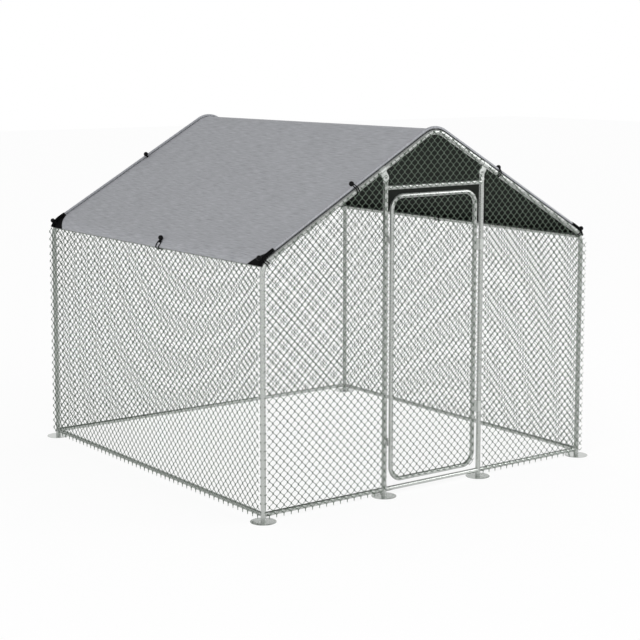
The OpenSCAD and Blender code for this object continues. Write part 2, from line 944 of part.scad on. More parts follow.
cross_rail(-run_w / 2, -post_x, front_y, rail_h);  // front_left_bottom_rail
cross_rail(post_x, run_w / 2, front_y, rail_h);  // front_right_bottom_rail
cross_rail(-post_x, post_x, front_y, rail_h);  // door_sill
door_post(-1);  // left_door_post
door_post(1);  // right_door_post
cross_rail(-post_x, post_x, front_y, lintel_h);  // lintel
foot(-run_w / 2, front_y);  // front_left_foot
foot(run_w / 2, front_y);  // front_right_foot
foot(-run_w / 2, -front_y);  // back_left_foot
foot(run_w / 2, -front_y);  // back_right_foot
foot(-post_x, front_y);  // left_door_foot
foot(post_x, front_y);  // right_door_foot
rafter_clamp(-1);  // left_rafter_clamp
rafter_clamp(1);  // right_rafter_clamp
clamp_bolts();
side_net(-1);  // left_net
side_net(1);  // right_net
back_net();
front_left_net();
front_right_net();
gable_net();
roof_cover();
corner_patches();
grommets();
tie_balls();
tie_loops();
hinge_band(upper_hinge_h);  // upper_hinge_band
hinge_band(lower_hinge_h);  // lower_hinge_band
hinge_pins();
latch_clip(upper_latch_h);  // upper_latch_clip
latch_clip(lower_latch_h);  // lower_latch_clip
door_bow(door_joint_h, door_head);  // door_top_bow
door_bow(door_joint_h, door_foot);  // door_bottom_bow
door_joint_sleeves();
door_net();
hinge_leaf(upper_hinge_h);  // upper_hinge_leaf
hinge_leaf(lower_hinge_h);  // lower_hinge_leaf
latch(upper_latch_h);  // upper_latch
latch(lower_latch_h);  // lower_latch
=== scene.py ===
"""Walk-in poultry run: chain-link net, cloth cover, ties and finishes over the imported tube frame."""

import json
import math
from typing import NamedTuple

import bmesh
import bpy
from bpy.props import FloatProperty, FloatVectorProperty, PointerProperty
from mathutils import Matrix, Vector


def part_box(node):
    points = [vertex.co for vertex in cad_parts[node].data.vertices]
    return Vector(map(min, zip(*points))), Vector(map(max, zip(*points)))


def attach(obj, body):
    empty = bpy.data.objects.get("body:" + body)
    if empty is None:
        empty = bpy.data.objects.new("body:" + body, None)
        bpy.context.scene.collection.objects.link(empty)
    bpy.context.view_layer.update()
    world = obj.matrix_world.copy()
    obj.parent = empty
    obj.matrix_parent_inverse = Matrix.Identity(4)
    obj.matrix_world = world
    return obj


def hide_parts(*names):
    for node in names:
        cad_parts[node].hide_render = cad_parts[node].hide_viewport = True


bl_info = {
    "name": "Walk-in Poultry Run",
    "version": (1, 0, 0),
    "blender": (4, 5, 0),
    "location": "View3D > Sidebar > Poultry Run",
    "description": "Dresses the tube frame of a walk-in poultry run with net, cloth and fittings",
    "category": "Object",
}

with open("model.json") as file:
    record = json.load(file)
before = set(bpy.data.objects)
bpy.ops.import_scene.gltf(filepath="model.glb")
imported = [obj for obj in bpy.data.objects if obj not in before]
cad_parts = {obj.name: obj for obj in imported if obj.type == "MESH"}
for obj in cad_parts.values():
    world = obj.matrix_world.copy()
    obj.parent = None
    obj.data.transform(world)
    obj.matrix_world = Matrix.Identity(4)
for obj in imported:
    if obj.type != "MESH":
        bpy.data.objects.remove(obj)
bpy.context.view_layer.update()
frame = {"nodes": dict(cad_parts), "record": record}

# The photograph's camera, in metres, degrees, pixels and shares of the picture's width
PHOTO_PIXELS = 640
FOCAL_PIXELS = 1545.38
SENSOR_MM = 36.0
CAMERA_PLACE = (-5.5581, -7.5595, 2.3803)
CAMERA_HEADING = 36.403
CAMERA_DIP = 7.263
CAMERA_SHIFT = (0.0114, -0.1)

# Soft lights: name, place, side and power
LIGHTS = (("soft_key", (-4.5, -4.0, 5.5), 5.0, 60.0), ("soft_fill", (5.0, -5.0, 3.5), 2.6, 90.0))
LIGHT_TARGET = (0, 0, 0.9)
# Sky: height and colour of the two ends of its ramp
SKY = ((0.35, (1.0, 1.0, 1.0)), (0.9, (0.4, 0.4, 0.4)))
FLOOR_HALF = 40.0
FLOOR_DROP = 0.0005
FLOOR_GLOW = 0.9

# Ripples of the cloth: waves along the run, lean down the slope and height
RIPPLES = ((17, 5, 0.0012), (41, -9, 0.0005))
RAILS = (
    "left_bottom_rail", "right_bottom_rail", "back_bottom_rail", "front_left_bottom_rail",
    "front_right_bottom_rail", "door_sill", "lintel", "ridge_rail", "left_eave_rail", "right_eave_rail")


def node_middle(node):
    """Middle of a CAD node's box."""
    low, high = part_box(node)
    return (low + high) / 2


def node_size(node):
    """Lengths of a CAD node's box."""
    low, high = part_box(node)
    return high - low


# Sizes


def metres(name, description, default):
    """A length in metres that a user may change."""
    return FloatProperty(name=name, description=description, default=default, unit="LENGTH")


def tint(name, description, default):
    """A colour that a user may change."""
    return FloatVectorProperty(name=name, description=description, default=default, subtype="COLOR")


class FrameSizes(bpy.types.PropertyGroup):
    """Sizes of the tube frame that the pieces are fitted to."""

    half_width: metres(
        "Half Width", "Middle of the run to a corner post's axis", node_middle("front_right_post").x)
    half_depth: metres(
        "Half Depth", "Middle of the run to an end frame's plane", node_middle("back_right_post").y)
    eave: metres("Eave", "Height where the axes of a post and its rafter would cross", 1.345)
    ridge: metres("Ridge", "Height where the axes of two rafters would cross", 2.005)
    tube: metres("Frame Tube", "Radius of the posts and rafters", node_size("front_left_post").x / 2)
    rail: metres("Rail Tube", "Radius of the rails and of the door tube", node_size("ridge_rail").x / 2)
    eave_bend: metres("Eave Bend", "Radius of an eave bend on the tube's axis", 0.1)
    ridge_bend: metres("Ridge Bend", "Radius of a ridge bend on the tube's axis", 0.13)
    door_post: metres(
        "Door Post", "Middle of the run to a door post's axis", node_middle("right_door_post").x)

    @property
    def slope(self):
        """Slope of the roof."""
        return math.atan2(self.ridge - self.eave, self.half_width)

    @property
    def eave_turn(self):
        """Turn of an eave bend."""
        return math.pi / 2 - self.slope

    @property
    def eave_centre(self):
        """Centre of the right eave bend, as X and Z."""
        fall = self.eave_bend * math.tan(self.eave_turn / 2)
        return Vector((self.half_width - self.eave_bend, self.eave - fall))

    @property
    def ridge_centre(self):
        """Centre of the ridge bends, as X and Z."""
        return Vector((0, self.ridge - self.ridge_bend / math.cos(self.slope)))

    def rafter_height(self, x):
        """Height of the rafters' axes at a distance from the middle."""
        return self.ridge - abs(x) * math.tan(self.slope)

    def by_rafter(self, x, rise):
        """X and Z of a point above the rafters' axes."""
        return x, self.rafter_height(x) + rise


class NetSizes(bpy.types.PropertyGroup):
    """Sizes of the chain-link net and of its panels."""

    pitch: metres("Mesh", "Diagonal of one mesh", 0.0464)
    wire: metres("Wire", "Radius of the wire", 0.0021)
    weave: metres("Weave", "Distance of a wire's front and back runs from the net's middle", 0.0019)
    ends: metres("Ends", "Length of the cut ends below the net", 0.017)
    gap: metres("Gap", "Net off the tubes", 0.0003)
    overrun: metres("Overrun", "Net past a corner post", 0.027)
    foot: metres("Foot", "Wall nets above the underside of the bottom rails", 0.005)
    top: metres("Top", "Side nets below the cloth's edge", 0.001)
    rise: metres("Rise", "End nets above the rafters' axes", 0.009)
    shoulder: metres("Shoulder", "Cut corner of an end net under an eave bend", 0.03)
    left_fall: metres("Left Fall", "Front left net's corner below the eave height", 0.015)
    right_fall: metres("Right Fall", "Front right net's corner below the eave height", 0.04)
    peak: metres("Peak", "Half width of a gable's flat top", 0.035)
    peak_rise: metres("Peak Rise", "A gable's flat top above the ridge bend's axis", 0.008)
    clamp_side: metres("Clamp Side", "Front nets' cut beside a rafter clamp's middle", 0.045)
    clamp_drop: metres("Clamp Drop", "Front nets' cut below the rafter's axis at a door post", 0.045)
    post_lap: metres("Post Lap", "Front left net past the door post's axis", 0.0035)
    lintel_lap: metres("Lintel Lap", "Gable net below the lintel's axis", 0.01)
    door_cut: metres("Door Cut", "Cut corners of the door net", 0.03)


class CoverSizes(bpy.types.PropertyGroup):
    """Sizes of the roof cover, its hems and its patches."""

    stand_off: metres("Stand-off", "Tube axis to the middle of the cloth", 0.01705)
    cloth: metres("Cloth", "Thickness of the cloth", 0.0012)
    drop: metres("Drop", "Cloth's lower edge below the eave height", 0.010)
    over: metres("Overhang", "Cloth beyond the end frames' planes", 0.002)
    sag: metres("Sag", "Sag of the cloth between its tubes", 0.007)
    hem: metres("Hem", "Width of the eave hems", 0.024)
    hem_cloth: metres("Hem Cloth", "Thickness of the eave hems", 0.0006)
    hem_gap: metres("Hem Gap", "Eave hems off the cloth", 0.0004)
    roll: metres("Roll", "Radius of the rolled hems at the two ends", 0.0075)
    wrap: metres("Wrap", "Radius of a corner patch's wrap round the rolled hem", 0.0105)
    patch_along: metres("Patch Along", "Corner patch along the eave", 0.13)
    patch_up: metres("Patch Up", "Corner patch up the roof", 0.115)
    patch_tip: metres("Patch Tip", "Width of a corner patch's upper end", 0.026)
    patch_cloth: metres("Patch Cloth", "Thickness of a corner patch", 0.0007)
    patch_gap: metres("Patch Gap", "Corner patches off the cloth", 0.0011)
    patch_curve: FloatProperty(
        name="Patch Curve", description="Power of a corner patch's taper, where 1 is straight", default=1.3)


class TieSizes(bpy.types.PropertyGroup):
    """Sizes and places of the ball ties."""

    ball: metres("Ball", "Radius of a ball", 0.014)
    elastic: metres("Elastic", "Radius of an elastic", 0.0028)
    loop: metres("Loop", "Radius of a loop round its tube, as far as the cloth", 0.024)
    hole: metres("Hole", "Grommet's middle inward of where the loop meets the cloth", 0.003)
    far: metres("Far Tie", "Front left and back right rafter ties from the middle", 0.545)
    near: metres("Near Tie", "Front right and back left rafter ties from the middle", 0.470)
    eave: metres("Eave Tie", "Eave ties from the middle", 0.125)
    rail_room: metres("Rail Room", "Corner ties above the eave rails", 0.0035)
    spread: metres("Spread", "Half width of the loops at the two ends", 0.0065)
    corner_seat: metres("Corner Seat", "Corner balls inward of the hem's middle", 0.006)
    corner_lift: metres("Corner Lift", "Corner balls above the cloth", 0.014)
    rafter_seat: metres("Rafter Seat", "Rafter balls inward of the hem's middle", 0.012)
    rafter_lift: metres("Rafter Lift", "Rafter balls above the cloth", 0.009)
    eave_spread: metres("Eave Spread", "Half width of the eave loops", 0.018)
    eave_edge: metres("Eave Edge", "Eave loops' turn over the cloth's edge", 0.012)
    eave_hole: metres("Eave Hole", "Eave grommets up the cloth from the tie's middle", 0.0179)
    eave_seat: metres("Eave Seat", "Eave balls up the cloth from the tie's middle", 0.040)
    eave_lift: metres("Eave Lift", "Eave balls above the cloth", 0.0003)


class FittingSizes(bpy.types.PropertyGroup):
    """Sizes of the coped rail ends, the screws and the hooks."""

    cope: metres("Cope", "Length of a coped rail end", 0.02)
    cope_in: metres("Cope In", "Middle of a coped end inward of the rail's end", 0.004)
    cope_skin: metres("Cope Skin", "Coped end's radius over the rail's", 0.0003)
    screw: metres("Screw", "Radius of a screw's head", 0.0045)
    screw_past: metres("Screw Past", "Screws past the ends of the bends", 0.004)
    screw_drop: metres("Screw Drop", "Screws below the tops of the posts", 0.016)
    hook_foot: metres("First Hook", "Height of the lowest hook", 0.05)
    hook_room: metres("Hook Room", "Length of the post without hooks", 0.1)
    hook_gap: metres("Hook Gap", "Hooks off the post", 0.0002)


class RunColours(bpy.types.PropertyGroup):
    """Colours of the finishes."""

    zinc: tint("Zinc", "Galvanised tube", (0.49, 0.51, 0.49))
    wire: tint("Wire", "Net wire", (0.132, 0.170, 0.133))
    cloth: tint("Cloth", "Top of the cover", (0.372, 0.380, 0.404))
    lining: tint("Lining", "Underside of the cover", (0.0200, 0.0245, 0.0198))
    black: tint("Black", "Patches, balls and elastics", (0.004, 0.004, 0.0044))
    floor: tint("Floor", "Floor under the light that it gives off", (0.12, 0.12, 0.12))


class RunSettings(bpy.types.PropertyGroup):
    """Everything that a user would change."""

    frame: PointerProperty(type=FrameSizes)
    net: PointerProperty(type=NetSizes)
    cover: PointerProperty(type=CoverSizes)
    ties: PointerProperty(type=TieSizes)
    fittings: PointerProperty(type=FittingSizes)
    colours: PointerProperty(type=RunColours)


# Materials


class Term:
    """A shader socket in an expression; each operation on it adds a Math node."""

    def __init__(self, shading, socket):
        self.shading = shading
        self.socket = socket

    def math(self, operation, first, second):
        return self.shading.node("ShaderNodeMath", {"operation": operation}, {0: first, 1: second})

    def __add__(self, other):
        return self.math("ADD", self, other)

    def __radd__(self, other):
        return self.math("ADD", other, self)

    def __sub__(self, other):
        return self.math("SUBTRACT", self, other)

    def __rsub__(self, other):
        return self.math("SUBTRACT", other, self)

    def __mul__(self, other):
        return self.math("MULTIPLY", self, other)

    def __rmul__(self, other):
        return self.math("MULTIPLY", other, self)

    def __gt__(self, other):
        return self.math("GREATER_THAN", self, other)

    def __lt__(self, other):
        return self.math("LESS_THAN", self, other)


class Shading:
    """A node tree, with the one method that adds its nodes."""

    def __init__(self, tree):
        self.tree = tree

    def feed(self, socket, value):
        """Links a term to a socket, or sets the socket to a plain value."""
        if isinstance(value, Term):
            self.tree.links.new(value.socket, socket)
        elif hasattr(value, "__len__") and len(value) == 3 and socket.type == "RGBA":
            socket.default_value = (*value, 1.0)
        else:
            socket.default_value = value

    def node(self, kind, settings=None, inputs=None, output=0):
        """Adds a node, sets it up, feeds its sockets and gives one of its outputs."""
        made = self.tree.nodes.new(kind)
        for key, value in (settings or {}).items():
            if key == "stops":
                for stop, (place, tone) in zip(made.color_ramp.elements, value):
                    stop.position = place
                    stop.color = (*tone, 1.0)
            else:
                setattr(made, key, value)
        for key, value in (inputs or {}).items():
            self.feed(made.inputs[key], value)
        return Term(self, made.outputs[output])


class Finish(Shading):
    """A material made of one Principled shader and the nodes that feed it."""

    def __init__(self, name):
        self.material = bpy.data.materials.new(name)
        self.material.use_nodes = True
        super().__init__(self.material.node_tree)
        self.tree.nodes.clear()
        self.shader = self.tree.nodes.new("ShaderNodeBsdfPrincipled")
        output = self.tree.nodes.new("ShaderNodeOutputMaterial")
        self.tree.links.new(self.shader.outputs[0], output.inputs["Surface"])

    def surface(self, **inputs):
        """Feeds the Principled shader's sockets; an underscore stands for a space."""
        for key, value in inputs.items():
            self.feed(self.shader.inputs[key.replace("_", " ")], value)
        return self.material

    def place(self, scale, source="Object"):
        """Coordinates of the surface, stretched along each axis."""
        where = self.node("ShaderNodeTexCoord", output=source)
        return self.node("ShaderNodeMapping", inputs={"Vector": where, "Scale": scale})

    def noise(self, vector, scale, detail=3.0, roughness=0.55):
        """Soft noise from 0 to 1."""
        return self.node("ShaderNodeTexNoise", inputs={
            "Vector": vector, "Scale": scale, "Detail": detail, "Roughness": roughness})

    def mix(self, factor, first, second):
        """Colour between two colours."""
        return self.node("ShaderNodeMix", {"data_type": "RGBA"}, {0: factor, 6: first, 7: second}, 2)

    def bump(self, height, distance, strength=1.0):
        """Normal from a height."""
        return self.node("ShaderNodeBump", inputs={
            "Height": height, "Distance": distance, "Strength": strength})


def shade(colour, factor):
    """A lighter or darker colour."""
    return tuple(min(1.0, channel * factor) for channel in colour)


def galvanised_finish(name, colour, roughness, metallic=0.85):
    """Zinc coat: small crystals, a soft mottle and a few dull marks."""
    finish = Finish(name)
    where = finish.place((1, 1, 1))
    crystals = finish.node("ShaderNodeTexVoronoi", inputs={"Vector": where, "Scale": 260.0}, output=1)
    crystal = finish.node("ShaderNodeSeparateColor", inputs={0: crystals})
    mottle = finish.noise(where, 22.0)
    marks = finish.noise(where, 140.0, 4.0)
    tone = finish.mix(crystal * 0.35 + mottle * 0.5, shade(colour, 0.82), shade(colour, 1.18))
    worn = finish.mix((marks > 0.66) * 0.35, tone, shade(colour, 0.6))
    return finish.surface(
        Base_Color=worn, Metallic=metallic, Roughness=roughness + mottle * 0.12 - crystal * 0.06,
        Normal=finish.bump(marks, 0.00008, 0.5))


def wire_finish(colour):
    """Drawn net wire, dull and unevenly dark."""
    finish = Finish("net_wire_drawn")
    where = finish.place((1, 1, 1))
    dull = finish.noise(where, 9.0, 2.0)
    tone = finish.mix(dull, shade(colour, 0.7), shade(colour, 1.35))
    return finish.surface(
        Base_Color=tone, Metallic=0.2, Roughness=0.7 - dull * 0.1, Specular_IOR_Level=0.2)


def cloth_finish(colour):
    """Woven cover cloth: fine threads, long pale slubs along the ridge and a faint coat."""
    finish = Finish("cover_cloth_woven")
    threads = finish.noise(finish.place((900, 60, 1), "UV"), 1.0, 2.0)
    slubs = finish.noise(finish.place((230, 11, 1), "UV"), 1.0, 2.0, 0.6)
    clouds = finish.noise(finish.place((3, 3, 1), "UV"), 1.0, 3.0)
    cross = finish.noise(finish.place((40, 700, 1), "UV"), 1.0, 2.0)
    light = slubs * 1.2 + threads * 0.4 + clouds * 0.15 - 0.375
    tone = finish.mix(light, shade(colour, 0.5), shade(colour, 1.5))
    return finish.surface(
        Base_Color=tone, Roughness=0.78 + threads * 0.12, Sheen_Weight=0.08,
        Normal=finish.bump(threads * 0.5 + cross * 0.5, 0.0003, 0.45))


def lining_with_painted_shade_finish(colour, length):
    """Dark coated underside of the cover, with painted shade that darkens it towards the eaves, and the
    weave showing through.
    """
    finish = Finish("cover_lining_with_painted_shade")
    threads = finish.noise(finish.place((700, 500, 1), "UV"), 1.0, 2.0)
    clouds = finish.noise(finish.place((4, 4, 1), "UV"), 1.0, 3.0)
    mottle = finish.mix(threads * 0.5 + clouds * 0.5, shade(colour, 0.75), shade(colour, 1.3))
    from_ridge = finish.node(
        "ShaderNodeSeparateXYZ", inputs={0: finish.place((2 / length, 1, 1), "UV")}) - 1.0
    # Painted shade: the lining turns darker towards the eaves, standing for the shade near the walls.
    tone = finish.mix(from_ridge * from_ridge * 0.8, mottle, shade(colour, 0.15))
    return finish.surface(
        Base_Color=tone, Roughness=0.82 + threads * 0.1, Specular_IOR_Level=0.06,
        Normal=finish.bump(threads, 0.0002, 0.4))


def webbing_finish(name, colour):
    """Black patch cloth with a square weave."""
    finish = Finish(name)
    where = finish.place((1, 1, 1), "UV")
    warp, weft = (
        finish.node("ShaderNodeTexWave", {"bands_direction": way}, {
            "Vector": where, "Scale": 180.0, "Distortion": 0.6})
        for way in ("X", "Y"))
    weave = warp * weft
    tone = finish.mix(weave, shade(colour, 0.6), shade(colour, 2.4))
    return finish.surface(
        Base_Color=tone, Roughness=0.85 - weave * 0.15, Specular_IOR_Level=0.05,
        Normal=finish.bump(weave, 0.0003, 0.6))


def moulded_finish(name, colour, roughness):
    """Moulded plastic or rubber with a fine grain."""
    finish = Finish(name)
    where = finish.place((1, 1, 1))
    grain = finish.noise(where, 700.0, 3.0)
    scuffs = finish.noise(where, 90.0, 3.0)
    tone = finish.mix(scuffs, shade(colour, 0.8), shade(colour, 1.8))
    return finish.surface(
        Base_Color=tone, Roughness=roughness + scuffs * 0.12, Specular_IOR_Level=0.08,
        Normal=finish.bump(grain, 0.0001, 0.4))


def floor_finish(colour):
    """White floor that gives off most of its own light, so that shadows on it stay faint."""
    finish = Finish("white_floor")
    return finish.surface(
        Base_Color=colour, Roughness=0.9, Specular_IOR_Level=0.0, Emission_Color=(1, 1, 1),
        Emission_Strength=FLOOR_GLOW)


# Mesh helpers


def add_piece(name, bm, materials, body, replaced=(), sharp_angle=35.0):
    """Turns a bmesh into a piece that rides on a CAD body."""
    mesh = bpy.data.meshes.new(name)
    bm.to_mesh(mesh)
    bm.free()
    for material in materials:
        mesh.materials.append(material)
    mesh.shade_smooth()
    mesh.set_sharp_from_angle(angle=math.radians(sharp_angle))
    piece = bpy.data.objects.new(name, mesh)
    bpy.context.scene.collection.objects.link(piece)
    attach(piece, body)
    if replaced:
        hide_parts(*replaced)
    return piece


def paint_node(node, material):
    """Gives a CAD node a finish in place of its flat colour."""
    data = frame["nodes"][node].data
    data.materials.clear()
    data.materials.append(material)


def extrude_ring(bm, edges, offset):
    """Draws a ring of edges out by an offset and gives the new ring."""
    geometry = bmesh.ops.extrude_edge_only(bm, edges=edges)["geom"]
    verts = [item for item in geometry if isinstance(item, bmesh.types.BMVert)]
    bmesh.ops.translate(bm, verts=verts, vec=offset)
    drawn = set(verts)
    return [item for item in geometry
            if isinstance(item, bmesh.types.BMEdge) and set(item.verts) <= drawn]


def double_up(bm, step, count):
    """Repeats everything in a bmesh along a step until there are at least count copies."""
    made = 1
    while made < count:
        copied = bmesh.ops.duplicate(bm, geom=bm.verts[:] + bm.edges[:] + bm.faces[:])["geom"]
        verts = [item for item in copied if isinstance(item, bmesh.types.BMVert)]
        bmesh.ops.translate(bm, verts=verts, vec=step * made)
        made *= 2


def trim_to_outline(bm, outline):
    """Cuts a mesh in the XZ plane to a convex outline that runs anticlockwise seen from -Y."""
    for first, second in zip(outline, outline[1:] + outline[:1]):
        along = Vector(second) - Vector(first)
        outward = Vector((along.y, 0, -along.x))
        bmesh.ops.bisect_plane(
            bm, geom=bm.verts[:] + bm.edges[:] + bm.faces[:], plane_co=(first[0], 0, first[1]),
            plane_no=outward, clear_outer=True)


def sweep(bm, path, radius, sides=8, closed=False):
    """Draws a round cord or rod along a path."""
    points = [Vector(point) for point in path]
    count = len(points)
    rings = []
    across = None
    for index, point in enumerate(points):
        before = points[index - 1] if index or closed else point
        after = points[(index + 1) % count] if index < count - 1 or closed else point
        ahead = (after - before).normalized()
        if across is None:
            across = ahead.orthogonal().normalized()
        across = (across - ahead * across.dot(ahead)).normalized()
        turn = Matrix((across, ahead.cross(across), ahead)).transposed().to_4x4()
        ring = bmesh.ops.create_circle(
            bm, segments=sides, radius=radius, cap_ends=not closed and index in (0, count - 1),
            matrix=Matrix.Translation(point) @ turn)["verts"]
        rings.append(list({edge for vert in ring for edge in vert.link_edges}))
    following = rings[1:] + rings[:1] if closed else rings[1:]
    for first, second in zip(rings, following):
        bmesh.ops.bridge_loops(bm, edges=first + second)
    bmesh.ops.recalc_face_normals(bm, faces=bm.faces)


# Net


def fill_with_mesh(bm, low, high, net):
    """Fills a rectangle of the XZ plane with zigzag wires that hook into each other."""
    reach = net.pitch / 4 + net.wire
    lift = net.wire * 0.8
    half = net.pitch / 2
    stretch = Matrix.Diagonal((net.wire * math.sqrt(2), net.wire, 1, 1))
    start = Vector((low[0] - reach - half, -net.weave, low[1] - net.pitch + lift))
    bmesh.ops.create_circle(
        bm, segments=4, radius=1.0, matrix=Matrix.Translation(start) @ stretch)
    ring = bm.edges[:]
    hook = Vector((0, 2 * net.weave, 2 * lift))
    run = Vector((2 * reach, 0, half - 2 * lift))
    for offset in (run, hook, run * Vector((-1, 0, 1)), hook * Vector((0, -1, 1))):
        ring = extrude_ring(bm, ring, offset)
    double_up(bm, Vector((0, 0, net.pitch)), math.ceil((high[1] - low[1]) / net.pitch) + 2)
    bmesh.ops.remove_doubles(bm, verts=bm.verts, dist=1e-6)
    double_up(bm, Vector((half, 0, half)), 2)
    double_up(bm, Vector((net.pitch, 0, 0)), math.ceil((high[0] - low[0]) / net.pitch) + 2)


def add_cut_ends(bm, low, high, net):
    """Twisted wire ends that hang from the lowest row of meshes."""
    middle = low[1] + net.wire - net.ends / 2
    for step in range(int((high[0] - low[0]) / net.pitch)):
        place = Vector((low[0] + net.pitch * (step + 0.25), 0, middle))
        bmesh.ops.create_cone(
            bm, cap_ends=True, segments=6, radius1=net.wire * 0.8, radius2=net.wire * 1.3,
            depth=net.ends, matrix=Matrix.Translation(place))


def net_panel(name, outline, net, stand, material, body, replaced, cut_ends=True):
    """A chain-link panel cut to an outline of the XZ plane and moved to where it stands."""
    low = [min(point[axis] for point in outline) for axis in (0, 1)]
    high = [max(point[axis] for point in outline) for axis in (0, 1)]
    bm = bmesh.new()
    fill_with_mesh(bm, low, high, net)
    trim_to_outline(bm, outline)
    bmesh.ops.holes_fill(bm, edges=[edge for edge in bm.edges if edge.is_boundary], sides=8)
    if cut_ends:
        add_cut_ends(bm, low, high, net)
    bmesh.ops.transform(bm, matrix=stand, verts=bm.verts)
    bmesh.ops.recalc_face_normals(bm, faces=bm.faces)
    return add_piece(name, bm, [material], body, (replaced,), sharp_angle=180.0)


# Cover


def arc_points(centre, radius, first, last, count):
    """Points on an arc of the XZ plane."""
    return [
        Vector((centre.x + radius * math.cos(first + (last - first) * step / count),
                centre.y + radius * math.sin(first + (last - first) * step / count)))
        for step in range(count + 1)]


def cover_profile(sizes, cover, rise=0.0, pieces=30):
    """Points of the cloth's cross-section from the left eave over the ridge to the right eave."""
    stand_off = cover.stand_off + rise
    centre = sizes.eave_centre
    edge = math.asin((sizes.eave - cover.drop - centre.y) / (sizes.eave_bend + cover.stand_off))
    eave = arc_points(centre, sizes.eave_bend + stand_off, edge, sizes.eave_turn, 10)
    ridge = arc_points(
        sizes.ridge_centre, sizes.ridge_bend + stand_off, math.pi / 2 - sizes.slope, math.pi / 2, 8)
    run = [eave[-1].lerp(ridge[0], step / pieces) for step in range(1, pieces)]
    right = eave + run + ridge
    left = [Vector((-point.x, point.y)) for point in right]
    return left + right[-2::-1]


def profile_lengths(points):
    """Length along a profile up to each of its points."""
    lengths = [0.0]
    for first, second in zip(points, points[1:]):
        lengths.append(lengths[-1] + (second - first).length)
    return lengths


def cloth_strip(profile, lengths, front, back, rows):
    """A bmesh of cloth drawn along Y from a profile, with its flat size in its UV map."""
    bm = bmesh.new()
    along = bm.verts.layers.float.new("along")
    verts = [bm.verts.new((point.x, front, point.y)) for point in profile]
    for vert, length in zip(verts, lengths):
        vert[along] = length
    edges = [bm.edges.new(pair) for pair in zip(verts, verts[1:])]
    extrude_ring(bm, edges, Vector((0, back - front, 0)))
    if rows > 1:
        long_edges = [
            edge for edge in bm.edges if abs(edge.verts[0].co.y - edge.verts[1].co.y) > 1e-6]
        bmesh.ops.subdivide_edges(bm, edges=long_edges, cuts=rows - 1, use_grid_fill=True)
    bmesh.ops.recalc_face_normals(bm, faces=bm.faces)
    if sum(face.normal.z for face in bm.faces) < 0:
        bmesh.ops.reverse_faces(bm, faces=bm.faces)
    flat = bm.loops.layers.uv.new("flat")
    for face in bm.faces:
        for loop in face.loops:
            loop[flat].uv = (loop.vert[along], loop.vert.co.y)
    return bm


def map_plan(bm):
    """Gives a rolled or wrapped piece a UV map in plan."""
    plan = bm.loops.layers.uv.verify()
    for face in bm.faces:
        for loop in face.loops:
            loop[plan].uv = (loop.vert.co.x, loop.vert.co.y + loop.vert.co.z)


def thicken(bm, thickness):
    """Gives cloth its thickness; the faces that look down take the second material."""
    bmesh.ops.solidify(bm, geom=bm.faces, thickness=thickness)
    for face in bm.faces:
        face.material_index = 0 if face.normal.z > 0 else 1


# Ties


class Tie(NamedTuple):
    """One ball tie, in a frame on the tube's axis with +Z off the roof and +X off the cloth's edge: the
    tube's radius, the cloth's edge, the grommet and the ball along X, the cloth's top, the radius of the hem
    under the loop, the loop's half width, the bend's radius and the ball's height off the cloth."""

    place: Matrix
    tube: float
    edge: float
    hole: float
    ball: float
    high: float
    roll: float
    spread: float
    bend: float
    lift: float

    def on_cloth(self, along, lift):
        """X and Z of a point above the cloth, which is bent at the eaves."""
        if not self.bend:
            return along, self.high + lift
        radius = self.bend + self.high
        turn = along / radius
        return (radius + lift) * math.sin(turn), (radius + lift) * math.cos(turn) - self.bend

    def laid(self, along, share, lift):
        """X, share of the spread and Z of a strand's point above the cloth."""
        x, z = self.on_cloth(along, lift)
        return x, share, z


def ball_ties(sizes, cover, own):
    """The ten ties: four at the corners, four on the rafters and two on the eaves."""
    ties = []
    reach = math.sqrt(own.loop ** 2 - (cover.stand_off + cover.cloth / 4) ** 2)
    high = cover.stand_off + cover.cloth / 2
    middle = sizes.eave_turn / 2
    lifted = middle + (sizes.rail + own.rail_room) / sizes.eave_bend
    centre = sizes.eave_centre
    hole = -own.hole - reach
    hem = cover.over - cover.roll
    for side in (-1, 1):
        for end in (-1, 1):
            to_edge = Matrix.Rotation(end * math.pi / 2, 4, "Z")
            corner = (Matrix.Translation((side * centre.x, end * sizes.half_depth, centre.y))
                      @ Matrix.Rotation(side * (math.pi / 2 - lifted), 4, "Y")
                      @ Matrix.Translation((0, 0, sizes.eave_bend)) @ to_edge)
            ties.append(Tie(
                place=corner, tube=sizes.tube, edge=cover.over, hole=hole, ball=hem - own.corner_seat,
                high=high, roll=cover.wrap, spread=own.spread, bend=0, lift=own.corner_lift))
            x = own.far if side * end > 0 else own.near
            rafter = (Matrix.Translation((side * x, end * sizes.half_depth, sizes.rafter_height(x)))
                      @ Matrix.Rotation(side * sizes.slope, 4, "Y") @ to_edge)
            ties.append(Tie(
                place=rafter, tube=sizes.tube, edge=cover.over, hole=hole, ball=hem - own.rafter_seat,
                high=high, roll=cover.roll, spread=own.spread, bend=0, lift=own.rafter_lift))
        eave = (Matrix.Translation((side * centre.x, side * own.eave, centre.y))
                @ Matrix.Rotation(side * (math.pi / 2 - middle), 4, "Y")
                @ Matrix.Translation((0, 0, sizes.eave_bend))
                @ Matrix.Rotation(0 if side > 0 else math.pi, 4, "Z"))
        ties.append(Tie(
            place=eave, tube=sizes.rail, edge=own.eave_edge, hole=-own.eave_hole, ball=-own.eave_seat,
            high=high, roll=0, spread=own.eave_spread, bend=sizes.eave_bend, lift=own.eave_lift))
    return ties


def smooth_loop(corners):
    """A closed curve through points, with one more point between each two."""
    smooth = []
    count = len(corners)
    for index in range(count):
        before, first, second, after = (Vector(corners[(index + step) % count]) for step in (-1, 0, 1, 2))
        smooth.append(first)
        smooth.append((9 * (first + second) - before - after) / 16)
    return smooth


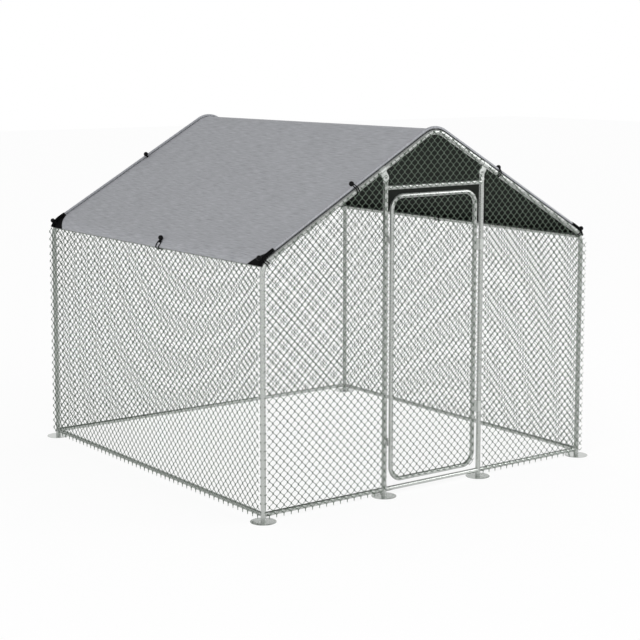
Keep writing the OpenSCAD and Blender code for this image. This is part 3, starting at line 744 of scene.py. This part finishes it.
def elastic_path(tie, spread, thick, core):
    """Closed path of one strand of an elastic in its tie's frame: out of the ball, through the grommet,
    round the tube and back over the cloth's edge. Its points are listed one by one: X, share of spread, Z."""
    hug = tie.tube + thick + 0.0002
    front = max(hug, tie.edge + thick + 0.001)
    if tie.roll:
        hem, middle, turn = tie.edge - core, tie.high + core, tie.roll + thick
        down = [tie.laid(tie.ball - 0.002, 0.3, tie.lift + 0.004), tie.laid(tie.hole, 0.4, -0.003)]
        up = [(hem + turn, 1.0, middle), (hem, 0.8, middle + turn),
              tie.laid(tie.ball + 0.004, 0.3, tie.lift + 0.008)]
    else:
        down = [tie.laid(tie.ball - 0.002, 0.2, 0.004),
                tie.laid((tie.ball + tie.hole) / 2, 0.22, thick + 0.0004),
                tie.laid(tie.hole - 0.0015, 0.22, thick), tie.laid(tie.hole, 0.22, -0.003)]
        up = [(front * 0.8, 0.8, tie.high + 0.003), tie.laid(tie.hole * 0.4, 1.0, thick + 0.0008),
              tie.laid(tie.ball + 0.012, 0.7, thick + 0.001), tie.laid(tie.ball + 0.003, 0.2, 0.007)]
    under = [(hug * math.cos(math.radians(turn)), 1.0, hug * math.sin(math.radians(turn)))
             for turn in range(195, 350, 15)]
    route = [*down, (tie.hole * 0.98, 0.7, 0.006), *under, (front, 1.0, 0.004),
             (front * 0.98, 1.0, tie.high * 0.7), *up]
    return smooth_loop([(x, spread * share, z) for x, share, z in route])


# Operators


class POULTRYRUN_OT_stage(bpy.types.Operator):
    """Floor, soft light and the camera at the photograph's viewing angle"""

    bl_idname = "poultry_run.stage"
    bl_label = "Stage"

    def execute(self, context):
        self.add_floor(context)
        self.add_sky(context)
        for name, place, size, power in LIGHTS:
            self.add_light(context, name, place, size, power)
        self.add_camera(context)
        return {"FINISHED"}

    @staticmethod
    def add_floor(context):
        """A white floor just under the feet."""
        bm = bmesh.new()
        bmesh.ops.create_grid(bm, x_segments=4, y_segments=4, size=FLOOR_HALF)
        bmesh.ops.translate(bm, verts=bm.verts, vec=(0, 0, -FLOOR_DROP))
        mesh = bpy.data.meshes.new("floor")
        bm.to_mesh(mesh)
        bm.free()
        mesh.materials.append(floor_finish(context.scene.poultry_run.colours.floor))
        floor = bpy.data.objects.new("floor", mesh)
        context.scene.collection.objects.link(floor)

    @staticmethod
    def add_sky(context):
        """A white studio that darkens overhead."""
        world = bpy.data.worlds.new("white_studio")
        world.use_nodes = True
        sky = Shading(world.node_tree)
        where = sky.node("ShaderNodeTexCoord", output="Generated")
        height = sky.node("ShaderNodeSeparateXYZ", inputs={0: where}, output="Z")
        tone = sky.node("ShaderNodeValToRGB", {"stops": SKY}, {"Fac": height})
        sky.feed(world.node_tree.nodes["Background"].inputs["Color"], tone)
        context.scene.world = world
        context.scene.view_settings.view_transform = "Standard"

    @staticmethod
    def add_light(context, name, place, size, power):
        """A square soft light that looks at the middle of the run."""
        data = bpy.data.lights.new(name, "AREA")
        data.size = size
        data.energy = power
        light = bpy.data.objects.new(name, data)
        light.location = place
        ahead = Vector(LIGHT_TARGET) - Vector(place)
        light.rotation_euler = ahead.to_track_quat("-Z", "Y").to_euler()
        context.scene.collection.objects.link(light)

    @staticmethod
    def add_camera(context):
        """Camera from in front and to the left, a little above the ridge."""
        heading = math.radians(CAMERA_HEADING)
        dip = math.radians(CAMERA_DIP)
        look = Vector((
            math.sin(heading) * math.cos(dip), math.cos(heading) * math.cos(dip), -math.sin(dip)))
        data = bpy.data.cameras.new("photo_camera")
        data.sensor_width = SENSOR_MM
        data.lens = FOCAL_PIXELS * SENSOR_MM / PHOTO_PIXELS
        data.shift_x, data.shift_y = CAMERA_SHIFT
        camera = bpy.data.objects.new("photo_camera", data)
        camera.location = CAMERA_PLACE
        camera.rotation_euler = look.to_track_quat("-Z", "Y").to_euler()
        context.scene.collection.objects.link(camera)
        context.scene.camera = camera


class POULTRYRUN_OT_tube_finishes(bpy.types.Operator):
    """Zinc finishes on the tubes, feet, bands and fittings"""

    bl_idname = "poultry_run.tube_finishes"
    bl_label = "Tube Finishes"

    def execute(self, context):
        zinc = context.scene.poultry_run.colours.zinc
        by_slot = {
            "galvanised_tube": galvanised_finish("tube_zinc", zinc, 0.25),
            "foot_steel": galvanised_finish("foot_zinc", shade(zinc, 1.05), 0.14, 1.0),
            "band_steel": galvanised_finish("band_zinc", shade(zinc, 1.2), 0.36),
            "fitting_steel": galvanised_finish("fitting_zinc", shade(zinc, 0.55), 0.4),
            "grommet_metal": galvanised_finish("grommet_plate", (0.75, 0.75, 0.75), 0.12, 1.0),
        }
        for subpart in frame["record"]["subparts"]:
            material = by_slot.get(subpart["material_slot"])
            if material:
                paint_node(subpart["node"], material)
        return {"FINISHED"}


class POULTRYRUN_OT_nets(bpy.types.Operator):
    """Chain-link net on the walls, gable and door"""

    bl_idname = "poultry_run.nets"
    bl_label = "Nets"

    def execute(self, context):
        settings = context.scene.poultry_run
        sizes, net = settings.frame, settings.net
        material = wire_finish(settings.colours.wire)
        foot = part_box("left_bottom_rail")[0].z + net.foot
        top = sizes.eave - settings.cover.drop - net.top
        peak_height = sizes.ridge_centre.y + sizes.ridge_bend + net.peak_rise
        peak = [(net.peak, peak_height), (-net.peak, peak_height)]
        self.add_side_nets(sizes, net, foot, top, material)
        self.add_end_nets(sizes, net, foot, peak, material)
        self.add_inner_nets(sizes, net, peak, material)
        return {"FINISHED"}

    @staticmethod
    def add_side_nets(sizes, net, foot, top, material):
        """Left and right walls."""
        off = sizes.half_width + sizes.tube + net.weave + net.wire + net.gap
        start, stop = -sizes.half_depth + sizes.tube, sizes.half_depth + net.overrun
        wall = [(start, foot), (stop, foot), (stop, top), (start, top)]
        for name, place in (("left", -off), ("right", off)):
            stand = Matrix.Translation((place, 0, 0)) @ Matrix.Rotation(math.pi / 2, 4, "Z")
            net_panel(f"{name}_net_wire", wall, net, stand, material, "frame", f"{name}_net")

    @staticmethod
    def add_end_nets(sizes, net, foot, peak, material):
        """Back wall with its gable, and the front walls beside the door."""
        side, post = sizes.half_width, sizes.door_post
        off = sizes.half_depth + sizes.tube + net.weave + net.wire + net.gap
        corner = side - net.shoulder
        clear = node_middle("right_rafter_clamp").x + net.clamp_side
        shoulder = sizes.eave - net.shoulder
        back = [(-side, foot), (side, foot), (side, shoulder), sizes.by_rafter(corner, net.rise), *peak,
                sizes.by_rafter(-corner, net.rise), (-side, shoulder)]
        net_panel("back_net_wire", back, net, Matrix.Translation((0, off, 0)), material,
                  "frame", "back_net")

        front = Matrix.Translation((0, -off, 0))
        left_start, left_end = -side + sizes.tube, -post + net.post_lap
        left = [(left_start, foot), (left_end, foot), sizes.by_rafter(left_end, -net.clamp_drop),
                sizes.by_rafter(-clear, net.rise), sizes.by_rafter(-corner, net.rise),
                (left_start, sizes.eave - net.left_fall)]
        net_panel("front_left_net_wire", left, net, front, material, "frame", "front_left_net")

        right_start, right_end = post + sizes.tube, side + net.overrun
        right = [(right_start, foot), (right_end, foot), (right_end, sizes.eave - net.right_fall),
                 sizes.by_rafter(corner, net.rise), sizes.by_rafter(clear, net.rise),
                 sizes.by_rafter(right_start, -net.clamp_drop)]
        net_panel("front_right_net_wire", right, net, front, material, "frame", "front_right_net")

    @staticmethod
    def add_inner_nets(sizes, net, peak, material):
        """Front gable over the lintel, and the door."""
        off = sizes.half_depth + sizes.rail + net.weave + net.wire + net.gap
        stand = Matrix.Translation((0, -off, 0))
        face = sizes.door_post - sizes.tube
        sill = node_middle("lintel").z - net.lintel_lap
        gable = [(-face, sill), (face, sill), sizes.by_rafter(face, net.rise), *peak,
                 sizes.by_rafter(-face, net.rise)]
        net_panel("gable_net_wire", gable, net, stand, material, "frame", "gable_net", cut_ends=False)

        low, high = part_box("door_net")
        cut = net.door_cut
        door = [(low.x + cut, low.z), (high.x - cut, low.z), (high.x, low.z + cut),
                (high.x, high.z - cut), (high.x - cut, high.z), (low.x + cut, high.z),
                (low.x, high.z - cut), (low.x, low.z + cut)]
        net_panel("door_net_wire", door, net, stand, material, "door", "door_net", cut_ends=False)


class POULTRYRUN_OT_cover(bpy.types.Operator):
    """Cloth cover over the roof, with its hems and corner patches"""

    bl_idname = "poultry_run.cover"
    bl_label = "Roof Cover"

    def execute(self, context):
        settings = context.scene.poultry_run
        sizes, cover, colours = settings.frame, settings.cover, settings.colours
        end = sizes.half_depth + cover.over
        profile = cover_profile(sizes, cover)
        lengths = profile_lengths(profile)
        cloth, lining = cloth_finish(colours.cloth), lining_with_painted_shade_finish(colours.lining, lengths[-1])
        bm = cloth_strip(profile, lengths, -end, end, 64)
        self.let_sag(bm, lengths[-1], end, cover.sag)
        thicken(bm, cover.cloth)
        sheet = add_piece("cover_cloth", bm, [cloth, lining], "frame", ("roof_cover",))
        hems = self.add_hems(sizes, cover, end, [cloth, lining])
        patches = self.add_patches(sizes, cover, end, webbing_finish("patch_webbing", colours.black))
        return {"FINISHED"}

    @staticmethod
    def let_sag(bm, length, end, sag):
        """Lets the cloth hang a little between the ridge, the eaves and the end frames."""
        along = bm.verts.layers.float["along"]
        for vert in bm.verts:
            share = vert[along] / length
            slope_share = (share * 2) % 1.0
            between = math.sin(math.pi * (vert.co.y + end) / (2 * end))
            hang = math.sin(math.pi * slope_share) ** 2 * between
            ripple = sum(
                math.sin(vert.co.y * waves + slope_share * lean) * height for waves, lean, height in RIPPLES)
            vert.co.z -= hang * (sag + ripple)

    @staticmethod
    def add_hems(sizes, cover, end, materials):
        """Hems rolled round a cord at the two ends, whose lower outer side takes the dark lining as painted
        shade between hem and tube, and folded hems along the two eaves."""
        hems = []
        roll_line = cover_profile(sizes, cover, cover.cloth / 2 + cover.roll)
        for name, way in (("front", -1), ("back", 1)):
            bm = bmesh.new()
            middle = way * (end - cover.roll)
            sweep(bm, [(point.x, middle, point.y) for point in roll_line], cover.roll, 12)
            map_plan(bm)
            for face in bm.faces:
                # Painted shade: the lower outer side of each roll takes the dark lining, standing for the
                # shadow line between the hem and the tube.
                painted_shade_face = face.normal.z < -0.6 and face.normal.y * way > -0.1
                face.material_index = 1 if painted_shade_face else 0
            hems.append(add_piece(f"{name}_hem", bm, materials, "frame", sharp_angle=60.0))
        profile = cover_profile(sizes, cover, cover.cloth / 2 + cover.hem_gap, 16)
        lengths = profile_lengths(profile)
        count = sum(length < cover.hem for length in lengths) + 1
        for name, points in (("left", profile[:count]), ("right", profile[::-1][:count])):
            bm = cloth_strip(points, lengths[:count], -end + 2 * cover.roll, end - 2 * cover.roll, 40)
            thicken(bm, cover.hem_cloth)
            hems.append(add_piece(f"{name}_hem", bm, materials, "frame"))
        return hems

    @staticmethod
    def add_patches(sizes, cover, end, material):
        """Black patches sewn on the four corners and wrapped round the rolled hems."""
        profile = cover_profile(sizes, cover, cover.cloth / 2 + cover.patch_gap, 240)
        roll_line = cover_profile(sizes, cover, cover.cloth / 2 + cover.roll, 240)
        lengths = profile_lengths(profile)
        count = sum(length < cover.patch_up for length in lengths)
        patches = []
        for side_name, side in (("left", -1), ("right", 1)):
            points = [Vector((-side * point.x, point.y)) for point in profile[:count]]
            for end_name, way in (("front", -1), ("back", 1)):
                bm = cloth_strip(points, lengths[:count], way * (end - cover.patch_along), way * end, 8)
                along = bm.verts.layers.float["along"]
                for vert in bm.verts:
                    taper = (1 - vert[along] / cover.patch_up) ** cover.patch_curve
                    width = cover.patch_tip + (cover.patch_along - cover.patch_tip) * taper
                    share = (end - abs(vert.co.y)) / cover.patch_along
                    vert.co.y = way * (end - width * share)
                thicken(bm, cover.patch_cloth)
                middle = way * (end - cover.roll)
                sweep(bm, [(-side * point.x, middle, point.y) for point in roll_line[:count]],
                      cover.wrap, 12)
                map_plan(bm)
                for face in bm.faces:
                    face.material_index = 0
                patches.append(add_piece(f"{end_name}_{side_name}_patch", bm, [material], "frame"))
        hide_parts("corner_patches")
        return patches


class POULTRYRUN_OT_ties(bpy.types.Operator):
    """Ball ties that hold the cover to the tubes"""

    bl_idname = "poultry_run.ties"
    bl_label = "Ball Ties"

    def execute(self, context):
        settings = context.scene.poultry_run
        cover, own, black = settings.cover, settings.ties, settings.colours.black
        balls, elastics = bmesh.new(), bmesh.new()
        for tie in ball_ties(settings.frame, cover, own):
            x, z = tie.on_cloth(tie.ball, tie.lift)
            tilt = tie.ball / (tie.bend + tie.high) if tie.bend else 0.0
            seat = Matrix.Translation((x, 0, z)) @ Matrix.Rotation(tilt, 4, "Y")
            self.add_ball(balls, tie.place @ seat, own.ball)
            for spread in (-tie.spread, tie.spread):
                path = elastic_path(tie, spread, own.elastic, cover.roll)
                sweep(elastics, [tie.place @ point for point in path], own.elastic, 8, closed=True)
        plastic = moulded_finish("ball_moulding", black, 0.28)
        braid = moulded_finish("elastic_braid", black, 0.7)
        add_piece("tie_ball_mouldings", balls, [plastic], "frame", ("tie_balls",))
        add_piece("tie_elastics", elastics, [braid], "frame", ("tie_loops",))
        return {"FINISHED"}

    @staticmethod
    def add_ball(bm, place, radius):
        """A moulded ball with a collar where the elastic goes in."""
        ball = bmesh.ops.create_uvsphere(
            bm, u_segments=24, v_segments=14, radius=radius,
            matrix=place @ Matrix.Translation((0, 0, radius)))["verts"]
        faces = {face for vert in ball for face in vert.link_faces}
        collar = bmesh.ops.create_cone(
            bm, cap_ends=True, segments=16, radius1=radius * 0.5, radius2=radius * 0.42,
            depth=radius * 0.5, matrix=place @ Matrix.Translation((0, 0, radius * 0.25)))["verts"]
        faces |= {face for vert in collar for face in vert.link_faces}
        bmesh.ops.recalc_face_normals(bm, faces=list(faces))


class POULTRYRUN_OT_fittings(bpy.types.Operator):
    """Coped rail ends, joint screws and the hooks that hold the nets to the front left post"""

    bl_idname = "poultry_run.fittings"
    bl_label = "Small Fittings"

    def execute(self, context):
        settings = context.scene.poultry_run
        sizes, own, zinc = settings.frame, settings.fittings, settings.colours.zinc
        self.add_rail_ends(own, galvanised_finish("rail_end_zinc", zinc, 0.34))
        self.add_screws(sizes, own, galvanised_finish("screw_zinc", shade(zinc, 0.7), 0.3))
        self.add_hooks(sizes, own, settings.net, wire_finish(settings.colours.wire))
        return {"FINISHED"}

    @staticmethod
    def add_rail_ends(own, material):
        """Ends of the rails that are coped into the posts and bends."""
        bm = bmesh.new()
        for node in RAILS:
            size = node_size(node)
            axis = max(range(3), key=lambda index: size[index])
            radius = min(size) / 2 + own.cope_skin
            along = Vector((0, 0, 0))
            along[axis] = 1.0
            turn = along.to_track_quat("Z", "Y").to_matrix().to_4x4()
            for sign in (-1, 1):
                place = node_middle(node) + along * sign * (size[axis] / 2 - own.cope_in)
                bmesh.ops.create_cone(
                    bm, cap_ends=True, segments=32, radius1=radius, radius2=radius, depth=own.cope,
                    matrix=Matrix.Translation(place) @ turn)
        add_piece("coped_rail_ends", bm, [material], "frame")

    @staticmethod
    def add_screws(sizes, own, material):
        """Pan-head screws on the inner side of each tube joint."""
        bm = bmesh.new()
        flatten = Matrix.Diagonal((1, 0.5, 1, 1))
        post_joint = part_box("front_left_post")[1].z - own.screw_drop
        ridge_joint = node_size("front_ridge_bend").x / 2 + own.screw_past
        eave_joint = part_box("front_right_eave_bend")[0].x - own.screw_past
        for side in (-1, 1):
            joints = [(side * sizes.half_width, post_joint)]
            for x in (ridge_joint, eave_joint):
                joints.append((side * x, sizes.rafter_height(x)))
            for x, z in joints:
                for end in (-1, 1):
                    place = Matrix.Translation((x, end * (sizes.half_depth - sizes.tube), z))
                    bmesh.ops.create_uvsphere(
                        bm, u_segments=12, v_segments=6, radius=own.screw, matrix=place @ flatten)
        add_piece("joint_screws", bm, [material], "frame")

    @staticmethod
    def add_hooks(sizes, own, net, material):
        """Wire hooks from the edges of two nets, each a little over a quarter turn round the front left
        post."""
        hooks = bmesh.new()
        reach = sizes.tube + net.wire + own.hook_gap
        for step in range(int((sizes.eave - own.hook_room) / net.pitch)):
            middle = Vector((-sizes.half_width, -sizes.half_depth, own.hook_foot + step * net.pitch))
            for first, last in ((-95, 5), (185, 85)):
                turns = [math.radians(first + (last - first) * part / 6) for part in range(7)]
                path = [middle + reach * Vector((math.cos(turn), math.sin(turn), 0)) for turn in turns]
                sweep(hooks, path, net.wire, 5)
        add_piece("post_hooks", hooks, [material], "frame")


class POULTRYRUN_PT_panel(bpy.types.Panel):
    """Lists the run's pieces and sizes"""

    bl_idname = "POULTRYRUN_PT_panel"
    bl_label = "Poultry Run"
    bl_space_type = "VIEW_3D"
    bl_region_type = "UI"
    bl_category = "Poultry Run"

    def draw(self, context):
        settings = context.scene.poultry_run
        for step in STEPS:
            self.layout.operator(step.bl_idname)
        for group in (settings.frame, settings.net, settings.cover, settings.ties, settings.fittings,
                      settings.colours):
            box = self.layout.box()
            for name in group.__annotations__:
                box.prop(group, name)


STEPS = (
    POULTRYRUN_OT_stage,
    POULTRYRUN_OT_tube_finishes,
    POULTRYRUN_OT_nets,
    POULTRYRUN_OT_cover,
    POULTRYRUN_OT_ties,
    POULTRYRUN_OT_fittings,
)
CLASSES = (FrameSizes, NetSizes, CoverSizes, TieSizes, FittingSizes, RunColours, RunSettings, *STEPS,
           POULTRYRUN_PT_panel)


def register():
    for cls in CLASSES:
        bpy.utils.register_class(cls)
    bpy.types.Scene.poultry_run = PointerProperty(type=RunSettings)


def unregister():
    del bpy.types.Scene.poultry_run
    for cls in reversed(CLASSES):
        bpy.utils.unregister_class(cls)


def main():
    register()
    bpy.ops.poultry_run.stage()
    bpy.ops.poultry_run.tube_finishes()
    bpy.ops.poultry_run.nets()
    bpy.ops.poultry_run.cover()
    bpy.ops.poultry_run.ties()
    bpy.ops.poultry_run.fittings()


if __name__ == "__main__":
    main()
